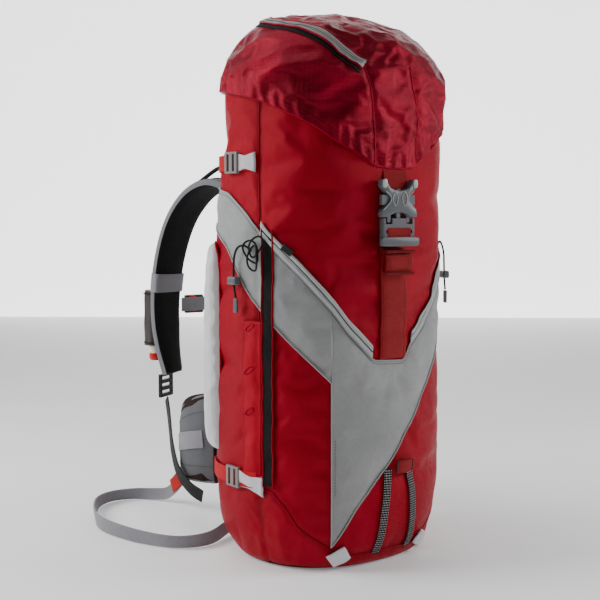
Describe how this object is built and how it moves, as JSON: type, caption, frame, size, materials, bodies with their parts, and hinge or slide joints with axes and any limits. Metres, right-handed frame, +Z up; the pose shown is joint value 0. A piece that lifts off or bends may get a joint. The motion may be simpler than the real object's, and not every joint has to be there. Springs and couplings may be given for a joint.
{
  "type": "avalanche airbag backpack",
  "caption": "Tall avalanche airbag backpack with a domed lid, grey V-shaped front panel, padded harness and airbag covers at the back corners.",
  "frame": {"origin": "middle of the flat base, on the ground", "axes": "+Z up, -Y out of the pack's outer face, +Y towards the wearer's back, -X to the wearer's left"},
  "size_m": [0.3882, 0.4959, 0.689],
  "materials": {
    "red_fabric": "plain weave nylon, coated inside",
    "lid_ripstop": "crinkled ripstop with a soft sheen",
    "grey_fabric": "heavy grey weave",
    "cover_fabric": "smooth light grey weave",
    "gusset_red": "bright red weave",
    "red_webbing": "ribbed polyester webbing",
    "white_webbing": "ribbed off-white webbing",
    "grey_webbing": "flat grey webbing",
    "dotted_webbing": "black band with white dots",
    "grey_plastic": "satin moulded acetal",
    "black_plastic": "satin moulded acetal",
    "black_cord": "braided sheath",
    "cream_plastic": "smooth moulded handle",
    "strap_foam": "foam under brushed fabric",
    "back_mesh": "spacer mesh over foam",
    "hip_fabric": "grey weave over foam",
    "frame_plastic": "moulded sheet",
    "airbag_nylon": "coated nylon, folded",
    "steel": "brushed bottle",
    "aluminium": "machined block"
  },
  "bodies": {
    "pack": {"activation_hose": "black_cord", "activation_unit": "aluminium", "airbag_cover_left": "cover_fabric", "airbag_cover_right": "cover_fabric", "airbag_left": "airbag_nylon", "airbag_right": "airbag_nylon", "back_pad": "back_mesh", "base_boot": "red_fabric", "base_loop_left": "white_webbing", "base_loop_right": "white_webbing", "buckle_male": "grey_plastic", "compression_hook_lower_left": "grey_plastic", "compression_hook_lower_right": "grey_plastic", "compression_hook_upper_left": "grey_plastic", "compression_hook_upper_right": "grey_plastic", "compression_strap_lower_left": "red_webbing", "compression_strap_lower_right": "red_webbing", "compression_strap_upper_left": "red_webbing", "compression_strap_upper_right": "red_webbing", "cord_lock_left": "grey_plastic", "cord_lock_right": "grey_plastic", "cord_toggle_left": "grey_plastic", "cord_toggle_right": "grey_plastic", "frame_sheet": "frame_plastic", "front_strap": "red_webbing", "front_wing_panel": "grey_fabric", "handle_sleeve": "strap_foam", "haul_loop": "grey_webbing", "hip_fin_left": "hip_fabric", "hip_fin_right": "hip_fabric", "ladder_lock_left": "black_plastic", "ladder_lock_right": "black_plastic", "leg_strap": "grey_webbing", "lower_webbing_left": "grey_webbing", "lower_webbing_right": "grey_webbing", "main_bag": "red_fabric", "shoulder_strap_left": "strap_foam", "shoulder_strap_right": "strap_foam", "side_cord_left": "black_cord", "side_cord_right": "black_cord", "side_gusset_left": "gusset_red", "side_gusset_right": "gusset_red", "spindrift_collar": "lid_ripstop", "tool_band_left": "dotted_webbing", "tool_band_right": "dotted_webbing", "tool_loop": "red_webbing"},
    "lid": {"lid_shell": "lid_ripstop", "lid_strap": "red_webbing", "buckle_female": "grey_plastic"},
    "lid_slider": {"lid_zip_slider": "grey_plastic"},
    "front_slider": {"front_zip_slider": "grey_plastic"},
    "prong_left": {"buckle_prong_left": "grey_plastic"},
    "prong_right": {"buckle_prong_right": "grey_plastic"},
    "handle": {"trigger_handle": "cream_plastic"},
    "chest_strap": {"sternum_strap": "grey_webbing", "sternum_buckle": "red_webbing"},
    "cartridge": {"gas_cartridge": "steel"}
  },
  "joints": [
    {"name": "lid_open", "type": "hinge", "parent": "pack", "child": "lid", "pos_m": [0, 0.0905, 0.588], "axis": [-1, 0, 0], "range_deg": [0, 105]},
    {"name": "lid_zip_slide", "type": "slide", "parent": "lid", "child": "lid_slider", "axis": [0.5212, -0.8535, 0], "range_m": [-0.012, 0.012]},
    {"name": "front_zip_slide", "type": "slide", "parent": "pack", "child": "front_slider", "axis": [0.4333, -0.5473, -0.716], "range_m": [-0.014, 0.014]},
    {"name": "prong_left_squeeze", "type": "hinge", "parent": "pack", "child": "prong_left", "pos_m": [-0.015, -0.1345, 0.4245], "axis": [0, 1, 0], "range_deg": [0, 8], "stiffness_Nm_per_rad": 0.3},
    {"name": "prong_right_squeeze", "type": "hinge", "parent": "pack", "child": "prong_right", "pos_m": [0.015, -0.1345, 0.4245], "axis": [0, 1, 0], "range_deg": [-8, 0], "stiffness_Nm_per_rad": 0.3},
    {"name": "handle_pull", "type": "slide", "parent": "pack", "child": "handle", "axis": [0, 0, -1], "range_m": [0, 0.03]},
    {"name": "chest_strap_height", "type": "slide", "parent": "pack", "child": "chest_strap", "axis": [0, 0, 1], "range_m": [-0.015, 0.015]},
    {"name": "cartridge_turn", "type": "hinge", "parent": "pack", "child": "cartridge", "pos_m": [0.075, 0.036, 0.2], "axis": [0, 0, 1], "continuous": true}
  ],
  "couplings": [
    {"joint": "prong_right_squeeze", "follows": "prong_left_squeeze", "ratio": -1}
  ]
}
